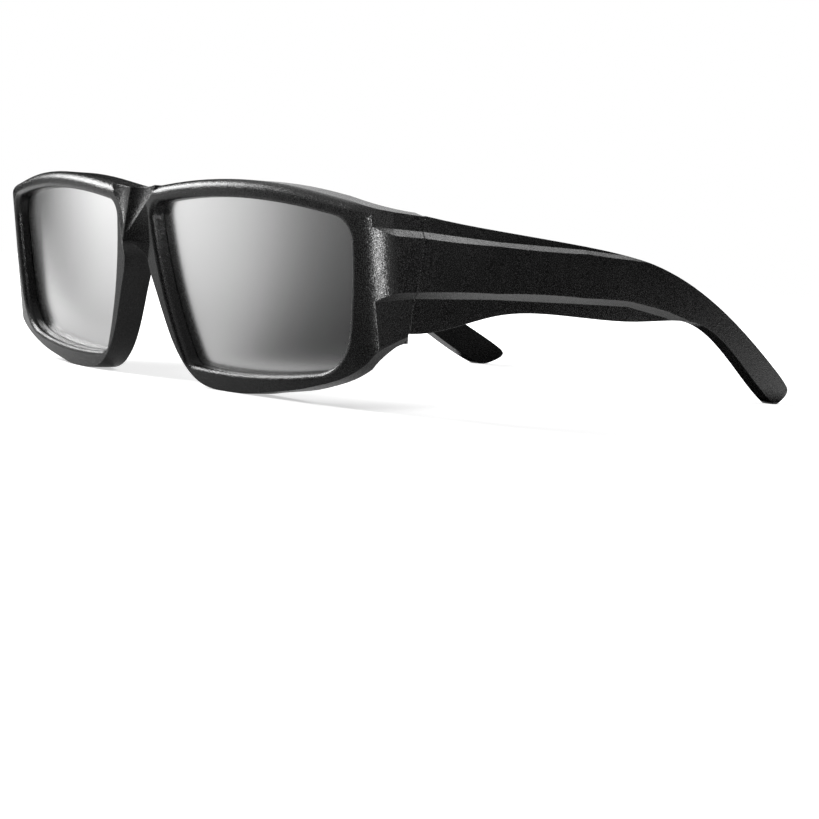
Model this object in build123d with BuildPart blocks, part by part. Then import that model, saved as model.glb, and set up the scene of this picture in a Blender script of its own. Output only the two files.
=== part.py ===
"""Eclipse glasses: a moulded wrap frame, two solar filter lenses and two folding temples."""
from build123d import *
import math
import os

os.makedirs("parts", exist_ok=True)

# Overall sizes, in millimetres. X runs to the wearer's left, Y from the front to the temple tips,
# Z up. The origin is on the floor, at the centre of the box that the open glasses fill.
frame_width = 149.0
overall_depth = 158.4
frame_height = 45.4
half_width = frame_width / 2
overrun = 5.0

# The front seen from above: a shallow arc between two tight corners, leaning by the tilt
wrap_radius = 290.0
corner_radius = 8.0
front_tilt = 8.9
rear_tilt = 5.9
brow_depth = 8.5
endpiece_wall = 4.2
side_depth = 60.0
ridge_reach = 0.85
front_y = ridge_reach - overall_depth / 2

# The seam between the front and a temple, which leans back towards its top
seam_depth = 23.4
seam_height = 25.6
seam_lean = 5.1
seam_gap = 0.16

# The front seen from ahead, as shares of the half width and the height
bridge_top_share = 0.935
brow_shares = [(0.125, 0.952), (0.242, 0.976), (0.483, 0.999), (0.738, 0.972), (0.886, 0.932)]
brow_end_shares = (1.06, 0.879)
side_low_shares = (1.06, 0.47)
lower_shares = [
    (0.985, 0.315), (0.961, 0.24), (0.901, 0.161), (0.771, 0.086), (0.685, 0.053), (0.541, 0.016),
]
rest_share = 0.403
nose_side_shares = [(0.263, 0.041), (0.196, 0.132), (0.133, 0.302), (0.086, 0.48), (0.070, 0.547)]
arch_shares = [(0.057, 0.617), (0.044, 0.640)]
arch_top_share = 0.661

# The end piece seen from the side: its lower edge sweeps up behind the rim, its top slopes down
endpiece_start = 17.3
endpiece_start_height = 5.7
endpiece_edge = [(18.2, 10.2), (20.2, 12.7)]
endpiece_end_height = 13.8
shoulder_depth = 11.1
shoulder_height = 40.6
shoulder_slope_shares = (0.21, 0.064)
underside_depth = 22.6
underside_height = 16.7
underside_slope_shares = (1.24, 0.28)

# Edges of the front, whose outer face is the one that crosses the middle
mid_width = 1.0
mid_share = 0.5
brow_round = 2.2
opening_round = 1.2
opening_reach = 2.0
touch = 0.02

# Bridge: the ridge line, from the arch up to the brow, and a scooped facet on each side
ridge_heights = (21.5, 30.4, 47.5)
ridge_places = (2.33, -0.85, 0.88)
ridge_halves = (4.0, 6.8, 9.5)
ridge_bury = 0.4
ridge_thick = 5.0
facet_heights = (32.5, 35.5, 39.5, 44.5)
facet_widths = (0.7, 2.7, 6.0, 10.4)
facet_sags = (0.05, 0.28, 0.7, 1.2)

# Eye openings, as shares of the half width and the height, corner by corner from the nose top
opening_shares = [(0.100, 0.859), (0.912, 0.843), (0.868, 0.175), (0.232, 0.107)]
opening_bow_shares = [(0.50, 0.914), (0.903, 0.540), (0.545, 0.104), (0.131, 0.526)]
opening_rounds = (3.4, 4.8, 11.0, 3.2)

# Lenses: a filter film laminated to the front of a curved lens, snapped into a groove in the rim
lens_recess = 3.3
film_thickness = 0.2
lens_thickness = 1.0
lens_lap = 1.2
lens_clearance = 0.1

# Temples seen from above, and from the side as shares of the temple's length and the height
temple_inset = 20.0
temple_wall = 4.2
tip_wall = 3.6
temple_length = overall_depth - ridge_reach - seam_depth
temple_start_share = 0.882
temple_top_shares = [
    (0.156, 0.836), (0.389, 0.777), (0.532, 0.716), (0.667, 0.596), (0.807, 0.409), (0.944, 0.188),
]
tip_shares = [(0.987, 0.110), (1.0, 0.070), (0.986, 0.029), (0.949, 0.0)]
temple_low_shares = [
    (0.890, 0.092), (0.773, 0.308), (0.674, 0.426), (0.599, 0.440), (0.499, 0.431), (0.300, 0.456),
    (0.165, 0.442), (0.055, 0.369),
]
temple_end_share = 0.353

# Side panel: sloped steps above and below it run from the end piece along the temple. Each row
# gives a place along the glasses, the step's foot and edge heights, and its depth
panel_step = 0.8
step_skin = 0.2
upper_step_shares = [
    (0.076, 0.790, 0.821, 2.4), (0.106, 0.782, 0.817, 1.1), (0.156, 0.778, 0.811, 1.0),
    (0.286, 0.763, 0.783, 1.0), (0.455, 0.749, 0.768, 1.0), (0.550, 0.729, 0.749, 0.8),
    (0.640, 0.709, 0.730, 0.0),
]
lower_step_shares = [
    (0.075, 0.524, 0.482, 3.1), (0.147, 0.542, 0.511, 1.0), (0.287, 0.549, 0.519, 1.0),
    (0.456, 0.542, 0.511, 1.0), (0.551, 0.532, 0.505, 1.0), (0.641, 0.487, 0.455, 1.0),
    (0.721, 0.418, 0.386, 1.0),
]

# Hinge: two knuckles on the end piece, one on the temple, and a slotted screw
hinge_x = half_width - endpiece_wall - 2.1
hinge_y = front_y + seam_depth
knuckle_radius = 2.7
hinge_foot = 13.8
frame_knuckle = 4.4
temple_knuckle = 5.4
knuckle_gap = 0.15
knuckle_clearance = 0.3
knuckle_root = 5.0
knuckle_bury = 0.8
screw_radius = 0.9
screw_clearance = 0.05
screw_grip = 3.2
head_radius = 1.55
head_height = 0.9
head_sink = 0.1
slot_width = 0.4
slot_depth = 0.4

temple_knuckle_foot = hinge_foot + frame_knuckle + knuckle_gap
upper_knuckle_foot = temple_knuckle_foot + temple_knuckle + knuckle_gap


def front_point(shares):
    """A point of the front's outline, from its shares of the half width and the height."""
    return (shares[0] * half_width, shares[1] * frame_height)


def temple_point(shares):
    """A point of the temple's outline, from its shares of the temple's length and the height."""
    return (hinge_y + shares[0] * temple_length, shares[1] * frame_height)


def front_lean(height):
    """How far the front's outer surface stands back, at a height, from its place at the top."""
    return (frame_height - height) * math.tan(math.radians(front_tilt))


def wrap_y(x, height):
    """Where the front's outer surface stands at a place across the front."""
    sag = wrap_radius - math.sqrt(wrap_radius**2 - x**2)
    return front_y + sag / math.cos(math.radians(front_tilt)) + front_lean(height)


def seam_y(height):
    """Where the seam stands at a height above the floor."""
    return hinge_y + (height - seam_height) * math.tan(math.radians(seam_lean))


def plan_outline(radius, corner, width, depth):
    """One half of the plan: an arc across the front, a corner arc and a straight side."""
    reach = width - corner
    sweep = math.asin(reach / (radius - corner))
    corner_y = radius - (radius - corner) * math.cos(sweep)
    middle = (math.pi / 2 + sweep) / 2
    with BuildLine() as half:
        front = ThreePointArc(
            (0, 0),
            (radius * math.sin(sweep / 2), radius - radius * math.cos(sweep / 2)),
            (radius * math.sin(sweep), radius - radius * math.cos(sweep)),
        )
        turn = ThreePointArc(
            front @ 1,
            (reach + corner * math.sin(middle), corner_y - corner * math.cos(middle)),
            (width, corner_y),
        )
        side = Line(turn @ 1, (width, depth))
        Line(side @ 1, (0, depth))
    return half.line


def leaning_plane(place, tilt):
    """The plane square to the front's leaning direction, at the top of the frame."""
    slope = math.radians(tilt)
    return Plane((0, place, frame_height), x_dir=(1, 0, 0), z_dir=(0, -math.sin(slope), math.cos(slope)))


def leaning_block(radius, corner, width, place, tilt):
    """The plan pulled both ways along its leaning direction, past the top and the floor."""
    with BuildPart() as block:
        with BuildSketch(leaning_plane(place, tilt)):
            with BuildLine():
                add(plan_outline(radius, corner, width, side_depth))
                mirror(about=Plane.YZ)
            make_face()
        extrude(amount=2 * frame_height, both=True)
    return block.part


def layer_block(near, far):
    """A curved layer of the front, between two depths behind its outer surface."""
    with BuildPart() as layer:
        with BuildSketch(leaning_plane(front_y, front_tilt)):
            with Locations((0, wrap_radius)):
                Circle(wrap_radius - near)
                Circle(wrap_radius - far, mode=Mode.SUBTRACT)
        extrude(amount=2 * frame_height, both=True)
    return layer.part


def front_outline():
    """The front's outline seen from ahead, pulled through the whole depth."""
    with BuildPart() as prism:
        with BuildSketch(Plane.XZ):
            with BuildLine():
                brow = Spline(
                    (0, bridge_top_share * frame_height),
                    *[front_point(share) for share in brow_shares],
                    front_point(brow_end_shares),
                    tangents=[(1, 0), (1, -0.25)],
                )
                side = Line(brow @ 1, front_point(side_low_shares))
                low = Spline(
                    side @ 1,
                    *[front_point(share) for share in lower_shares],
                    (rest_share * half_width, 0),
                    tangents=[(-0.7, -1), (-1, 0)],
                )
                Spline(
                    low @ 1,
                    *[front_point(share) for share in nose_side_shares],
                    *[front_point(share) for share in arch_shares],
                    (0, arch_top_share * frame_height),
                    tangents=[(-1, 0), (-1, 0)],
                )
                mirror(about=Plane.YZ)
            make_face()
        extrude(amount=overall_depth, both=True)
    return prism.part


def side_outline():
    """The front seen from the side, pulled through the width: it ends at the leaning seam."""
    with BuildPart() as prism:
        with BuildSketch(Plane.YZ):
            with BuildLine():
                under = Spline(
                    (front_y + endpiece_start, endpiece_start_height),
                    *[(front_y + place, height) for place, height in endpiece_edge],
                    (seam_y(endpiece_end_height), endpiece_end_height),
                    tangents=[(0, 1), (1, 0.2)],
                )
                Polyline(
                    under @ 1,
                    (seam_y(frame_height + overrun), frame_height + overrun),
                    (front_y - overrun, frame_height + overrun),
                    (front_y - overrun, -overrun),
                    (front_y + endpiece_start, -overrun),
                    under @ 0,
                )
            make_face()
        extrude(amount=frame_width, both=True)
    return prism.part


def ridge_form(height):
    """Where the ridge line stands at a height, behind the front's datum, and the ridge's half width."""
    lower = 0 if height <= ridge_heights[1] else 1
    share = (height - ridge_heights[lower]) / (ridge_heights[lower + 1] - ridge_heights[lower])
    return [row[lower] * (1 - share) + row[lower + 1] * share for row in (ridge_places, ridge_halves)]


def ridge_block():
    """The bridge's ridge: a wedge that rises to the ridge line between the two rims."""
    with BuildPart() as ridge:
        for height, place, half in zip(ridge_heights, ridge_places, ridge_halves):
            side_place = wrap_y(half, height) + ridge_bury
            with BuildSketch(Plane.XY.offset(height)):
                Polygon(
                    (0, front_y + place),
                    (half, side_place),
                    (half, side_place + ridge_thick),
                    (-half, side_place + ridge_thick),
                    (-half, side_place),
                    align=None,
                )
        loft(ruled=True)
        add(front_outline(), mode=Mode.INTERSECT)
        add(opening_prism(opening_round), mode=Mode.SUBTRACT)
        add(mirror(opening_prism(opening_round), about=Plane.YZ, mode=Mode.PRIVATE), mode=Mode.SUBTRACT)
    return ridge.part


def facet_scoop(side):
    """What the hollow facet beside the ridge leaves out: a cone of arcs that widens upwards."""
    with BuildPart() as scoop:
        for height, width, sag in zip(facet_heights, facet_widths, facet_sags):
            start, half = ridge_form(height)
            side_place = wrap_y(half, height) + ridge_bury - front_y
            end = start + (side_place - start) * width / half
            radius = (width**2 + (end - start) ** 2) / (8 * sag) + sag / 2
            slope = math.atan2(end - start, width)
            centre = (
                side * (width / 2 + (radius - sag) * math.sin(slope)),
                front_y + (start + end) / 2 - (radius - sag) * math.cos(slope),
            )
            with BuildSketch(Plane.XY.offset(height)):
                with Locations(centre):
                    Circle(radius)
        loft()
    return scoop.part


def opening_prism(growth):
    """The left eye opening seen from ahead, grown all round and pulled through the depth."""
    corners = [front_point(share) for share in opening_shares]
    bows = [front_point(share) for share in opening_bow_shares]
    with BuildPart() as prism:
        with BuildSketch(Plane.XZ) as opening:
            with BuildLine():
                for index, bow in enumerate(bows):
                    ThreePointArc(corners[index], bow, corners[(index + 1) % len(corners)])
            make_face()
            if growth:
                offset(amount=growth, kind=Kind.INTERSECTION)
            for corner, radius in zip(corners, opening_rounds):
                place = Vector(corner[0], corner[1], 0)
                fillet(opening.vertices().sort_by_distance(place)[0], radius + growth)
        extrude(amount=overall_depth, both=True)
    return prism.part


def outer_x(y):
    """Where the temple's outer face stands, from the straight end piece to the tapering arc."""
    radius = (temple_length**2 + temple_inset**2) / (2 * temple_inset)
    along = max(y - hinge_y, 0)
    return half_width - (radius - math.sqrt(radius**2 - along**2))


def step_cutter(rows, end):
    """What lies outside a strip beside the side panel, from its step to past the given height."""
    with BuildPart() as cutter:
        for place, foot, edge, depth in rows:
            y = front_y + place * overall_depth
            face = outer_x(y)
            strip = face - depth * panel_step
            foot_height = foot * frame_height + math.copysign(step_skin, foot - edge)
            with BuildSketch(Plane.XZ.offset(-y)):
                Polygon(
                    (face + step_skin, foot_height),
                    (strip, edge * frame_height),
                    (strip, end),
                    (face + overrun, end),
                    (face + overrun, foot_height),
                    align=None,
                )
        loft(ruled=True)
    return cutter.part


def knuckle(foot, height, root):
    """A hinge knuckle: a barrel on the hinge axis, with a root that runs into its wall."""
    with BuildPart() as barrel:
        with BuildSketch(Plane.XY.offset(foot)):
            with Locations((hinge_x, hinge_y)):
                Circle(knuckle_radius)
            Polygon(
                (hinge_x - knuckle_radius, hinge_y),
                (half_width - endpiece_wall + knuckle_bury, hinge_y),
                (half_width - endpiece_wall + knuckle_bury, hinge_y + root),
                (hinge_x - knuckle_radius, hinge_y + root),
                align=None,
            )
        extrude(amount=height)
    return barrel.part


def hinge_bore(foot, height, radius):
    """A round space on the hinge axis."""
    with BuildPart() as space:
        with BuildSketch(Plane.XY.offset(foot)):
            with Locations((hinge_x, hinge_y)):
                Circle(radius)
        extrude(amount=height)
    return space.part


def opening_edges(frame, opening):
    """The edges where an opening's walls meet the outer surface of the front."""
    walls = opening.faces().sort_by(Axis.Y)[1:-1]
    found = []
    for edge in frame.edges():
        points = [edge @ 0, edge @ mid_share, edge @ 1]
        outside = all(point.Y < wrap_y(point.X, point.Z) + opening_reach for point in points)
        if outside and min(wall.distance_to(points[1]) for wall in walls) < touch:
            found.append(edge)
    return found


pocket_radius = knuckle_radius + knuckle_clearance
bore_radius = screw_radius + screw_clearance
frame_feet = (hinge_foot, upper_knuckle_foot)
upper_cutter = step_cutter(upper_step_shares, frame_height + overrun)
lower_cutter = step_cutter(lower_step_shares, -overrun)

with BuildPart() as front_frame:
    add(leaning_block(wrap_radius, corner_radius, half_width, front_y, front_tilt))
    add(
        leaning_block(
            wrap_radius - brow_depth, corner_radius, half_width - endpiece_wall,
            front_y + brow_depth, rear_tilt,
        ),
        mode=Mode.SUBTRACT,
    )
    add(front_outline(), mode=Mode.INTERSECT)
    outer = front_frame.faces().filter_by(lambda face: abs(face.center().X) < mid_width).sort_by(Axis.Y)[0]
    fillet(outer.edges().sort_by(Axis.Z)[-1:], brow_round)
    add(side_outline(), mode=Mode.INTERSECT)
    for side in (1, -1):
        shoulder = Plane(
            (side * half_width, front_y + shoulder_depth, shoulder_height),
            z_dir=(side * shoulder_slope_shares[0], shoulder_slope_shares[1], 1),
        )
        split(bisect_by=shoulder, keep=Keep.BOTTOM)
        underside = Plane(
            (side * half_width, front_y + underside_depth, underside_height),
            z_dir=(-side * underside_slope_shares[0], -underside_slope_shares[1], 1),
        )
        split(bisect_by=underside, keep=Keep.TOP)
    openings = [opening_prism(0), mirror(opening_prism(0), about=Plane.YZ, mode=Mode.PRIVATE)]
    for opening in openings:
        add(opening, mode=Mode.SUBTRACT)
    fillet([edge for opening in openings for edge in opening_edges(front_frame, opening)], opening_round)
    add(ridge_block())
    for side in (1, -1):
        add(facet_scoop(side), mode=Mode.SUBTRACT)
    groove = opening_prism(lens_lap).intersect(
        layer_block(
            lens_recess - lens_clearance, lens_recess + film_thickness + lens_thickness + lens_clearance
        )
    )
    add(groove, mode=Mode.SUBTRACT)
    add(mirror(groove, about=Plane.YZ, mode=Mode.PRIVATE), mode=Mode.SUBTRACT)
    for cutter in (upper_cutter, lower_cutter):
        add(cutter, mode=Mode.SUBTRACT)
        add(mirror(cutter, about=Plane.YZ, mode=Mode.PRIVATE), mode=Mode.SUBTRACT)
    added = [knuckle(foot, frame_knuckle, -knuckle_root) for foot in frame_feet]
    removed = [
        hinge_bore(temple_knuckle_foot - knuckle_gap, temple_knuckle + 2 * knuckle_gap, pocket_radius),
        hinge_bore(hinge_foot, upper_knuckle_foot + screw_grip + head_height - hinge_foot, bore_radius),
        hinge_bore(hinge_foot, head_height + head_sink, head_radius + screw_clearance),
    ]
    for piece in added:
        add(piece)
        add(mirror(piece, about=Plane.YZ, mode=Mode.PRIVATE))
    for piece in removed:
        add(piece, mode=Mode.SUBTRACT)
        add(mirror(piece, about=Plane.YZ, mode=Mode.PRIVATE), mode=Mode.SUBTRACT)

front_frame.part.label = "front_frame"
export_step(front_frame.part, "parts/front_frame.step")

with BuildPart() as lens_left:
    add(opening_prism(lens_lap - lens_clearance))
    add(
        layer_block(lens_recess + film_thickness, lens_recess + film_thickness + lens_thickness),
        mode=Mode.INTERSECT,
    )
lens_left.part.label = "lens_left"
export_step(lens_left.part, "parts/lens_left.step")

with BuildPart() as lens_right:
    add(mirror(lens_left.part, about=Plane.YZ, mode=Mode.PRIVATE))
lens_right.part.label = "lens_right"
export_step(lens_right.part, "parts/lens_right.step")

with BuildPart() as filter_film_left:
    add(opening_prism(lens_lap - lens_clearance))
    add(layer_block(lens_recess, lens_recess + film_thickness), mode=Mode.INTERSECT)
filter_film_left.part.label = "filter_film_left"
export_step(filter_film_left.part, "parts/filter_film_left.step")

with BuildPart() as filter_film_right:
    add(mirror(filter_film_left.part, about=Plane.YZ, mode=Mode.PRIVATE))
filter_film_right.part.label = "filter_film_right"
export_step(filter_film_right.part, "parts/filter_film_right.step")

with BuildPart() as temple_left:
    end_y = hinge_y + temple_length
    start_y = hinge_y - overrun
    with BuildSketch(Plane.XY):
        with BuildLine():
            outer = ThreePointArc(
                (half_width, hinge_y), (outer_x(hinge_y + temple_length / 2), hinge_y + temple_length / 2),
                (half_width - temple_inset, end_y),
            )
            inner_wall = (temple_wall + tip_wall) / 2
            inner = ThreePointArc(
                (half_width - temple_wall, hinge_y),
                (outer_x(hinge_y + temple_length / 2) - inner_wall, hinge_y + temple_length / 2),
                (half_width - temple_inset - tip_wall, end_y),
            )
            Line(outer @ 1, inner @ 1)
            Polyline(outer @ 0, (half_width, start_y), (half_width - temple_wall, start_y), inner @ 0)
        make_face()
    extrude(amount=frame_height)
    with BuildSketch(Plane.YZ):
        start_top = temple_start_share * frame_height
        start_low = temple_end_share * frame_height
        with BuildLine():
            top = Spline(
                (seam_y(start_top) + seam_gap, start_top),
                *[temple_point(share) for share in temple_top_shares],
                *[temple_point(share) for share in tip_shares],
            )
            low = Spline(
                top @ 1,
                *[temple_point(share) for share in temple_low_shares],
                (seam_y(start_low) + seam_gap, start_low),
            )
            Line(low @ 1, top @ 0)
        make_face()
    extrude(amount=frame_width, both=True, mode=Mode.INTERSECT)
    add(upper_cutter, mode=Mode.SUBTRACT)
    add(lower_cutter, mode=Mode.SUBTRACT)
    for foot in frame_feet:
        pocket = hinge_bore(foot - knuckle_gap, frame_knuckle + 2 * knuckle_gap, pocket_radius)
        add(pocket, mode=Mode.SUBTRACT)
    add(knuckle(temple_knuckle_foot, temple_knuckle, knuckle_root))
    add(hinge_bore(temple_knuckle_foot, temple_knuckle, bore_radius), mode=Mode.SUBTRACT)
temple_left.part.label = "temple_left"
export_step(temple_left.part, "parts/temple_left.step")

with BuildPart() as temple_right:
    add(mirror(temple_left.part, about=Plane.YZ, mode=Mode.PRIVATE))
temple_right.part.label = "temple_right"
export_step(temple_right.part, "parts/temple_right.step")

with BuildPart() as hinge_screw_left:
    add(hinge_bore(hinge_foot + head_sink, upper_knuckle_foot + screw_grip - hinge_foot, screw_radius))
    add(hinge_bore(hinge_foot + head_sink, head_height, head_radius))
    with BuildSketch(Plane.XY.offset(hinge_foot + head_sink)):
        with Locations((hinge_x, hinge_y)):
            Rectangle(2 * head_radius, slot_width)
    extrude(amount=slot_depth, mode=Mode.SUBTRACT)
hinge_screw_left.part.label = "hinge_screw_left"
export_step(hinge_screw_left.part, "parts/hinge_screw_left.step")

with BuildPart() as hinge_screw_right:
    add(mirror(hinge_screw_left.part, about=Plane.YZ, mode=Mode.PRIVATE))
hinge_screw_right.part.label = "hinge_screw_right"
export_step(hinge_screw_right.part, "parts/hinge_screw_right.step")
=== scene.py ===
import math

import bmesh
import bpy
from mathutils import Matrix, Vector

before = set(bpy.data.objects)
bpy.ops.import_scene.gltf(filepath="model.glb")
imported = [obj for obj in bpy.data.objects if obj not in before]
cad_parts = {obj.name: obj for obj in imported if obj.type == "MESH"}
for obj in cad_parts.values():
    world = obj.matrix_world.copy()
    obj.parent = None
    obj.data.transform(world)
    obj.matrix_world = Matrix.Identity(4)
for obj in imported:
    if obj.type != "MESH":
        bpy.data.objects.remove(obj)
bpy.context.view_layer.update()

# ---------------------------------------------------------------- front frame
# The wrap front is one injection moulding of black polycarbonate blend. Its
# mould was spark-eroded, so it is matte with bright points in its highlights.
# Everything else snaps or screws into it.

millimetre = 0.001
edge_radius = 0.22 * millimetre
edge_samples = 6

plastic_black = "#080808"
plastic_worn = "#1d1d1d"
plastic_index = 1.55
plastic_specular = 0.2
plastic_roughness = 0.24
roughness_spread = 0.06

# The real grain is about 0.05 mm: it is drawn coarser, so that it shows.
plastic_grain = 0.2 * millimetre
grain_height = 0.05 * millimetre
plastic_cloud = 14 * millimetre
cloud_weight = 0.25


def from_hex(code):
    """The linear colour of an sRGB hex code."""
    channels = [int(code[i:i + 2], 16) / 255 for i in (1, 3, 5)]
    linear = [c / 12.92 if c <= 0.04045 else ((c + 0.055) / 1.055) ** 2.4 for c in channels]
    return linear + [1]


def add_node(tree, kind, settings=None, links=None):
    """Adds a node: settings fill its properties and sockets, links join sockets to it."""
    node = tree.nodes.new(kind)
    for name, value in (settings or {}).items():
        if isinstance(name, int) or name in node.inputs:
            node.inputs[name].default_value = value
        else:
            setattr(node, name, value)
    for name, source in (links or {}).items():
        tree.links.new(source, node.inputs[name])
    return node


def new_material(name):
    """An empty node material."""
    material = bpy.data.materials.new(name)
    material.use_nodes = True
    material.node_tree.nodes.clear()
    return material


def dress(node, material):
    """Gives a solid of the frame its material, in place of the plain one."""
    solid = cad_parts[node]
    solid.data.materials.clear()
    solid.data.materials.append(material)
    solid.material_slots[0].link = "DATA"


# Moulded polycarbonate: an even black, a little greyer where the grain stands up, with a fine
# roughness that scatters its highlights and edges that catch the light.
moulded_plastic = new_material("moulded_black_plastic")
tree = moulded_plastic.node_tree
place = add_node(tree, "ShaderNodeTexCoord").outputs["Object"]
cloud = add_node(tree, "ShaderNodeTexNoise", {"Scale": 1 / plastic_cloud, "Detail": 3.0},
                 {"Vector": place})
grain = add_node(tree, "ShaderNodeTexNoise", {"Scale": 1 / plastic_grain, "Detail": 0.0},
                 {"Vector": place})
uneven = add_node(tree, "ShaderNodeMath", {"operation": "MULTIPLY_ADD", 1: cloud_weight},
                  {0: cloud.outputs["Fac"], 2: grain.outputs["Fac"]})
tone = add_node(tree, "ShaderNodeValToRGB", links={"Fac": uneven.outputs["Value"]})
tone.color_ramp.elements[0].position = 0.5
tone.color_ramp.elements[0].color = from_hex(plastic_black)
tone.color_ramp.elements[1].position = 0.85
tone.color_ramp.elements[1].color = from_hex(plastic_worn)
rough = add_node(tree, "ShaderNodeMapRange",
                 {"From Min": 0.3, "From Max": 0.7,
                  "To Min": plastic_roughness - roughness_spread,
                  "To Max": plastic_roughness + roughness_spread},
                 {"Value": grain.outputs["Fac"]})
edge = add_node(tree, "ShaderNodeBevel", {"samples": edge_samples, "Radius": edge_radius})
bump = add_node(tree, "ShaderNodeBump", {"Strength": 1.0, "Distance": grain_height},
                {"Height": grain.outputs["Fac"], "Normal": edge.outputs["Normal"]})
shell = add_node(tree, "ShaderNodeBsdfPrincipled",
                 {"IOR": plastic_index, "Specular IOR Level": plastic_specular},
                 {"Base Color": tone.outputs["Color"], "Roughness": rough.outputs["Result"],
                  "Normal": bump.outputs["Normal"]})
add_node(tree, "ShaderNodeOutputMaterial", links={"Surface": shell.outputs["BSDF"]})
dress("front_frame", moulded_plastic)

# -------------------------------------------------------------------- temples
# Each temple is a moulding of the same black plastic and grain as the front,
# with a raised middle panel along its side, and turns on a hinge screw.

for side in ("left", "right"):
    dress(f"temple_{side}", moulded_plastic)

# --------------------------------------------------------------------- lenses
# The lens is a cut sheet of dyed polymer, nearly opaque, that snaps into a
# groove of the front. Its back is smooth and glossy, with a slow ripple.

lens_black = "#101114"
lens_grey = "#17181c"
lens_index = 1.5
lens_roughness = 0.12
lens_ripple = 9 * millimetre
lens_ripple_height = 0.02 * millimetre

lens_plastic = new_material("dyed_lens_sheet")
tree = lens_plastic.node_tree
place = add_node(tree, "ShaderNodeTexCoord").outputs["Object"]
ripple = add_node(tree, "ShaderNodeTexNoise", {"Scale": 1 / lens_ripple, "Detail": 1.0},
                  {"Vector": place})
tone = add_node(tree, "ShaderNodeValToRGB", links={"Fac": ripple.outputs["Fac"]})
tone.color_ramp.elements[0].color = from_hex(lens_black)
tone.color_ramp.elements[1].color = from_hex(lens_grey)
bump = add_node(tree, "ShaderNodeBump", {"Distance": lens_ripple_height},
                {"Height": ripple.outputs["Fac"]})
shell = add_node(tree, "ShaderNodeBsdfPrincipled",
                 {"IOR": lens_index, "Roughness": lens_roughness},
                 {"Base Color": tone.outputs["Color"], "Normal": bump.outputs["Normal"]})
add_node(tree, "ShaderNodeOutputMaterial", links={"Surface": shell.outputs["BSDF"]})
for side in ("left", "right"):
    dress(f"lens_{side}", lens_plastic)

# --------------------------------------------------------------- filter films
# The solar filter is a thin polymer film with a vapour-coated aluminium face,
# laid on the front of each lens. It reflects like a hazy mirror.

film_silver = "#bebebe"
film_smooth, film_rough = 0.23, 0.25

# Coarser than the real haze, whose specks are under 0.1 mm, so that it shows.
film_haze = 0.5 * millimetre
film_pucker = 22 * millimetre
film_pucker_height = 0.12 * millimetre
film_pucker_strength = 0.5

film_metal = new_material("aluminised_film")
tree = film_metal.node_tree
place = add_node(tree, "ShaderNodeTexCoord").outputs["Object"]
haze = add_node(tree, "ShaderNodeTexNoise", {"Scale": 1 / film_haze, "Detail": 2.0},
                {"Vector": place})
pucker = add_node(tree, "ShaderNodeTexNoise", {"Scale": 1 / film_pucker, "Detail": 0.0},
                  {"Vector": place})
rough = add_node(tree, "ShaderNodeMapRange",
                 {"From Min": 0.3, "From Max": 0.7, "To Min": film_smooth, "To Max": film_rough},
                 {"Value": haze.outputs["Fac"]})
bump = add_node(tree, "ShaderNodeBump",
                {"Distance": film_pucker_height, "Strength": film_pucker_strength},
                {"Height": pucker.outputs["Fac"]})
shell = add_node(tree, "ShaderNodeBsdfPrincipled",
                 {"Base Color": from_hex(film_silver), "Metallic": 1.0},
                 {"Roughness": rough.outputs["Result"], "Normal": bump.outputs["Normal"]})
add_node(tree, "ShaderNodeOutputMaterial", links={"Surface": shell.outputs["BSDF"]})
for side in ("left", "right"):
    dress(f"filter_film_{side}", film_metal)

# --------------------------------------------------------------- hinge screws
# A slotted steel screw is the pin of each hinge: turned, nickel-plated, and
# driven up from below into the front's top knuckle.

screw_shadow = "#8d8f92"
screw_bright = "#c6c8ca"
screw_roughness = 0.28

# Coarser than the real tool marks, which are about 0.05 mm apart, so that they show.
screw_turning = 0.15 * millimetre

screw_steel = new_material("turned_steel")
tree = screw_steel.node_tree
place = add_node(tree, "ShaderNodeTexCoord").outputs["Object"]
turning = add_node(tree, "ShaderNodeTexNoise", {"Scale": 1 / screw_turning, "Detail": 1.0},
                   {"Vector": place})
tone = add_node(tree, "ShaderNodeValToRGB", links={"Fac": turning.outputs["Fac"]})
tone.color_ramp.elements[0].color = from_hex(screw_shadow)
tone.color_ramp.elements[1].color = from_hex(screw_bright)
shell = add_node(tree, "ShaderNodeBsdfPrincipled",
                 {"Metallic": 1.0, "Roughness": screw_roughness},
                 {"Base Color": tone.outputs["Color"]})
add_node(tree, "ShaderNodeOutputMaterial", links={"Surface": shell.outputs["BSDF"]})
for side in ("left", "right"):
    dress(f"hinge_screw_{side}", screw_steel)

# ---------------------------------------------------------------------- table
# The glasses stand on a white table in a small studio. It shows its own white
# to the camera, keeps their shadow, and gives reflections a quarter of that.

table_white = "#ededed"
pure_white = "#ffffff"
table_reach = 900 * millimetre
table_gloss = 0.25
shadow_reach = 110 * millimetre
shadow_lift, open_lift = 0.52, 1.0


def flat_card(name, places, material):
    """A flat stage card with its corners at the given places."""
    mesh = bpy.data.meshes.new(name)
    work = bmesh.new()
    work.faces.new([work.verts.new(place) for place in places])
    bmesh.ops.recalc_face_normals(work, faces=work.faces)
    work.to_mesh(mesh)
    work.free()
    card = bpy.data.objects.new(name, mesh)
    bpy.context.scene.collection.objects.link(card)
    card.data.materials.append(material)
    return card


def lying_card(name, left, right, near, far, height, material):
    """A level card between two places across and two along the glasses."""
    places = [(left, near, height), (right, near, height), (right, far, height),
              (left, far, height)]
    return flat_card(name, places, material)


def seen_rays(tree, gloss):
    """One where the camera sees it, also through glass, and gloss where a reflection does."""
    rays = add_node(tree, "ShaderNodeLightPath")
    direct = add_node(tree, "ShaderNodeMath", {"operation": "MAXIMUM"},
                      {0: rays.outputs["Is Camera Ray"], 1: rays.outputs["Is Transmission Ray"]})
    return add_node(tree, "ShaderNodeMath", {"operation": "MULTIPLY_ADD", 1: gloss},
                    {0: rays.outputs["Is Glossy Ray"], 2: direct.outputs["Value"]})


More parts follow.
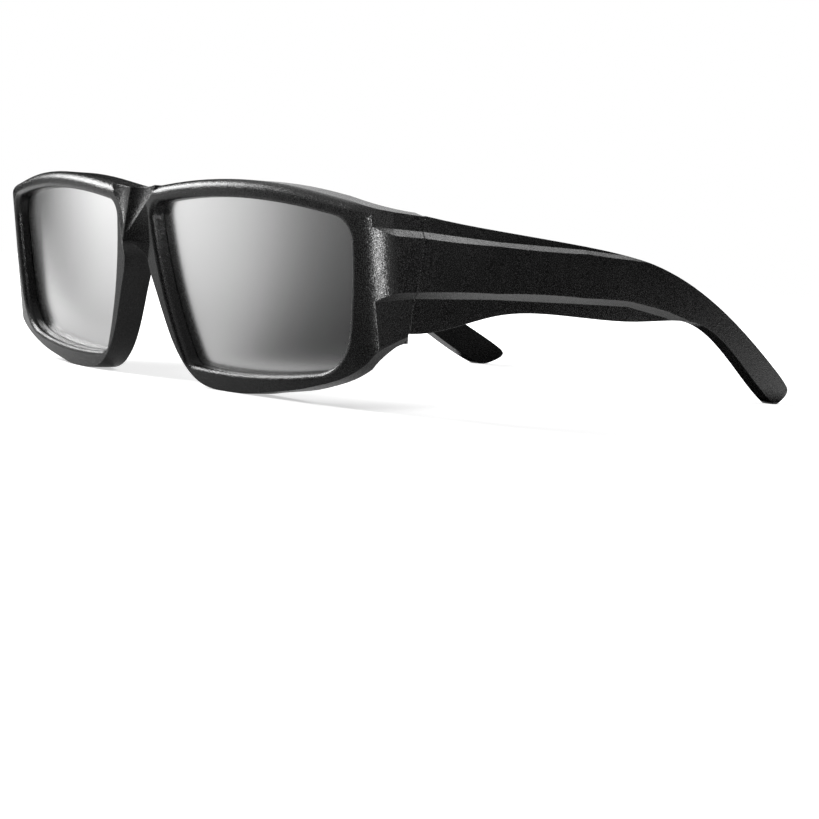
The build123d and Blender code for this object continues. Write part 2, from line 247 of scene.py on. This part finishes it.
table_paint = new_material("white_table")
tree = table_paint.node_tree
seen = seen_rays(tree, table_gloss)
place = add_node(tree, "ShaderNodeTexCoord").outputs["Object"]
reach = add_node(tree, "ShaderNodeVectorMath", {"operation": "LENGTH"}, {0: place})
fade = add_node(tree, "ShaderNodeMapRange",
                {"From Min": shadow_reach, "From Max": 2 * shadow_reach,
                 "To Min": shadow_lift, "To Max": open_lift},
                {"Value": reach.outputs["Value"]})
lift = add_node(tree, "ShaderNodeMath", {"operation": "MULTIPLY"},
                {0: seen.outputs["Value"], 1: fade.outputs["Result"]})
paint = add_node(tree, "ShaderNodeBsdfDiffuse", {"Color": from_hex(table_white)})
glow = add_node(tree, "ShaderNodeEmission", {"Color": from_hex(pure_white)},
                {"Strength": lift.outputs["Value"]})
both = add_node(tree, "ShaderNodeAddShader",
                links={0: paint.outputs["BSDF"], 1: glow.outputs["Emission"]})
add_node(tree, "ShaderNodeOutputMaterial", links={"Surface": both.outputs["Shader"]})
lying_card("floor", -table_reach, table_reach, -table_reach, table_reach, 0, table_paint)

# ---------------------------------------------------------------------- flags
# Black cloths and one graded sheet stand and lie around the glasses. Only
# reflections show them, and they keep the black plastic black and shade the
# films from light at the nose to dark at the temples.

flag_black = "#060606"
flag_lift = 0.4 * millimetre
flag_height = 300 * millimetre
front_flag_height = 220 * millimetre

flag_cloth = new_material("black_flag")
tree = flag_cloth.node_tree
cloth = add_node(tree, "ShaderNodeBsdfDiffuse", {"Color": from_hex(flag_black)})
add_node(tree, "ShaderNodeOutputMaterial", links={"Surface": cloth.outputs["BSDF"]})

# The sheet is tracing paper with a black wash: clear ahead of the glasses and darker towards both
# sides. Each row is a bearing from the scrim's centre, in degrees, and how clear it is there.
scrim_centre = (50 * millimetre, -30 * millimetre)
scrim_span = 90
scrim_clear = [
    (-90, 0.08), (-80, 0.12), (-77, 0.2), (-74.5, 0.3), (-72, 0.44), (-69.5, 0.62),
    (-67, 0.8), (-64, 0.93), (-61, 1.0), (-57, 1.0), (-45, 0.97), (-41, 0.93),
    (-38, 0.84), (-35, 0.74), (-33, 0.62), (-31, 0.5), (-29, 0.4), (-27, 0.32),
    (-25, 0.26), (-22, 0.2), (-18.7, 0.15), (-12, 0.1), (-5, 0.07),
]
scrim_paper = new_material("graded_tracing_paper")
tree = scrim_paper.node_tree
place = add_node(tree, "ShaderNodeTexCoord").outputs["Object"]
around = add_node(tree, "ShaderNodeMapping",
                  {"Location": (-scrim_centre[0], -scrim_centre[1], 0)}, {"Vector": place})
parts = add_node(tree, "ShaderNodeSeparateXYZ", links={"Vector": around.outputs["Vector"]})
ahead = add_node(tree, "ShaderNodeMath", {"operation": "MULTIPLY", 1: -1.0},
                 {0: parts.outputs["Y"]})
bearing = add_node(tree, "ShaderNodeMath", {"operation": "ARCTAN2"},
                   {0: parts.outputs["X"], 1: ahead.outputs["Value"]})
turn = add_node(tree, "ShaderNodeMapRange",
                {"From Min": -math.radians(scrim_span), "From Max": 0.0},
                {"Value": bearing.outputs["Value"]})
clear = add_node(tree, "ShaderNodeValToRGB", links={"Fac": turn.outputs["Result"]})
while len(clear.color_ramp.elements) < len(scrim_clear):
    clear.color_ramp.elements.new(0.5)
for stop, (angle, share) in zip(clear.color_ramp.elements, scrim_clear):
    stop.position, stop.color = 1 + angle / scrim_span, (share, share, share, 1)
wash = add_node(tree, "ShaderNodeBsdfDiffuse", {"Color": from_hex(flag_black)})
through = add_node(tree, "ShaderNodeBsdfTransparent")
mixed = add_node(tree, "ShaderNodeMixShader",
                 links={0: clear.outputs["Color"], 1: wash.outputs["BSDF"],
                        2: through.outputs["BSDF"]})
add_node(tree, "ShaderNodeOutputMaterial", links={"Surface": mixed.outputs["Shader"]})

# What lies on the table: its material, then left, right, near and far, in millimetres.
lying_flags = {
    "front_scrim": (scrim_paper, -600, 600, -84, -600),
    "side_table_flag": (flag_cloth, 108, 520, -20, 520),
    "inner_table_flag": (flag_cloth, -60, 64, -20, 90),
}
# What stands on it: where each foot starts and ends, in millimetres, and its height.
standing_flags = {
    "rear_flag": ((-350, -120), (-350, 185), flag_height),
    "front_flag": ((-282, -530), (386, -460), front_flag_height),
    "side_flag": ((520, 18), (334, 398), flag_height),
    "back_flag": ((334, 398), (-72, 515), flag_height),
}
flags = []
for name, (material, *edges) in lying_flags.items():
    left, right, near, far = (edge * millimetre for edge in edges)
    flags.append(lying_card(name, left, right, near, far, flag_lift, material))
for name, (start, end, height) in standing_flags.items():
    foot = [Vector((*place, 0)) * millimetre for place in (start, end)]
    head = [place + Vector((0, 0, height)) for place in reversed(foot)]
    flags.append(flat_card(name, foot + head, flag_cloth))
for flag in flags:
    flag.visible_camera = flag.visible_diffuse = flag.visible_shadow = False

# --------------------------------------------------------------------- lights
# A dim white room, one soft light to the front left for the brow and bridge,
# and one behind and above for the upper step. Two strips lie on the table:
# one glints in the near corner, and one in the lower step.

room_dim, room_white = 0.15, 1.0
lamp_lift = 1 * millimetre

room = bpy.data.worlds.new("studio")
bpy.context.scene.world = room
room.use_nodes = True
tree = room.node_tree
tree.nodes.clear()
seen = seen_rays(tree, 1.0)
level = add_node(tree, "ShaderNodeMapRange", {"To Min": room_dim, "To Max": room_white},
                 {"Value": seen.outputs["Value"]})
walls = add_node(tree, "ShaderNodeBackground", {"Color": from_hex(pure_white)},
                 {"Strength": level.outputs["Result"]})
add_node(tree, "ShaderNodeOutputWorld", links={"Surface": walls.outputs["Background"]})


def toward(azimuth, elevation):
    """The direction from the glasses to a place with this azimuth and elevation, in degrees."""
    turn, rise = math.radians(azimuth), math.radians(elevation)
    return Vector((math.sin(turn) * math.cos(rise), -math.cos(turn) * math.cos(rise),
                   math.sin(rise)))


def soft_light(name, where, width, height, power):
    """A rectangular soft light that shines down its own axis from where it is."""
    lamp = bpy.data.lights.new(name, "AREA")
    lamp.shape = "RECTANGLE"
    lamp.size, lamp.size_y, lamp.energy = width, height, power
    holder = bpy.data.objects.new(name, lamp)
    holder.visible_camera = False
    bpy.context.scene.collection.objects.link(holder)
    holder.matrix_world = where


# Azimuth and elevation in degrees, distance, width and height in millimetres, and watts.
hanging_lights = {
    "overhead_light": (148, 46, 650, 320, 240, 2.1),
    "left_light": (-64, 29, 700, 320, 280, 6.4),
}
for name, (azimuth, elevation, distance, width, height, power) in hanging_lights.items():
    away = toward(azimuth, elevation)
    facing = away.to_track_quat("Z", "Y").to_matrix().to_4x4()
    where = Matrix.Translation(away * distance * millimetre) @ facing
    soft_light(name, where, width * millimetre, height * millimetre, power)

# Place across and along, turn in degrees, width and depth in millimetres, and watts.
table_lights = {
    "corner_light": (215, -140, -26, 160, 26, 1.7),
    "ledge_light": (90, 29, 0, 22, 110, 0.022),
}
facing_up = Matrix.Rotation(math.pi, 4, "X")
for name, (across, along, turn, width, depth, power) in table_lights.items():
    spot = Vector((across * millimetre, along * millimetre, lamp_lift))
    where = Matrix.Translation(spot) @ Matrix.Rotation(math.radians(turn), 4, "Z") @ facing_up
    soft_light(name, where, width * millimetre, depth * millimetre, power)

# --------------------------------------------------------------------- camera
# The photograph was taken from the wearer's left and a little above, with a
# long lens, and its frame lies low and to the right of the glasses' middle.

view_target = Vector((20.0, -37.93, 20.11)) * millimetre
view_distance = 519.206 * millimetre
view_azimuth, view_elevation, view_roll = 53.233, 2.158, math.radians(3.568)
sensor_width = 36
lens_length = 101.354
lens_shift = (0.10584, -0.13550)
nearest_view = 10 * millimetre

back = toward(view_azimuth, view_elevation)
across = Vector((math.cos(math.radians(view_azimuth)), math.sin(math.radians(view_azimuth)), 0))
upward = back.cross(across)
right = across * math.cos(view_roll) + upward * math.sin(view_roll)
top = upward * math.cos(view_roll) - across * math.sin(view_roll)

lens_data = bpy.data.cameras.new("camera")
lens_data.sensor_width = sensor_width
lens_data.lens = lens_length
lens_data.shift_x, lens_data.shift_y = lens_shift
lens_data.clip_start = nearest_view
camera = bpy.data.objects.new("camera", lens_data)
bpy.context.scene.collection.objects.link(camera)
camera.matrix_world = Matrix.Translation(view_target + back * view_distance) @ Matrix(
    (right, top, back)).transposed().to_4x4()
bpy.context.scene.camera = camera
bpy.context.scene.view_settings.view_transform = "Standard"
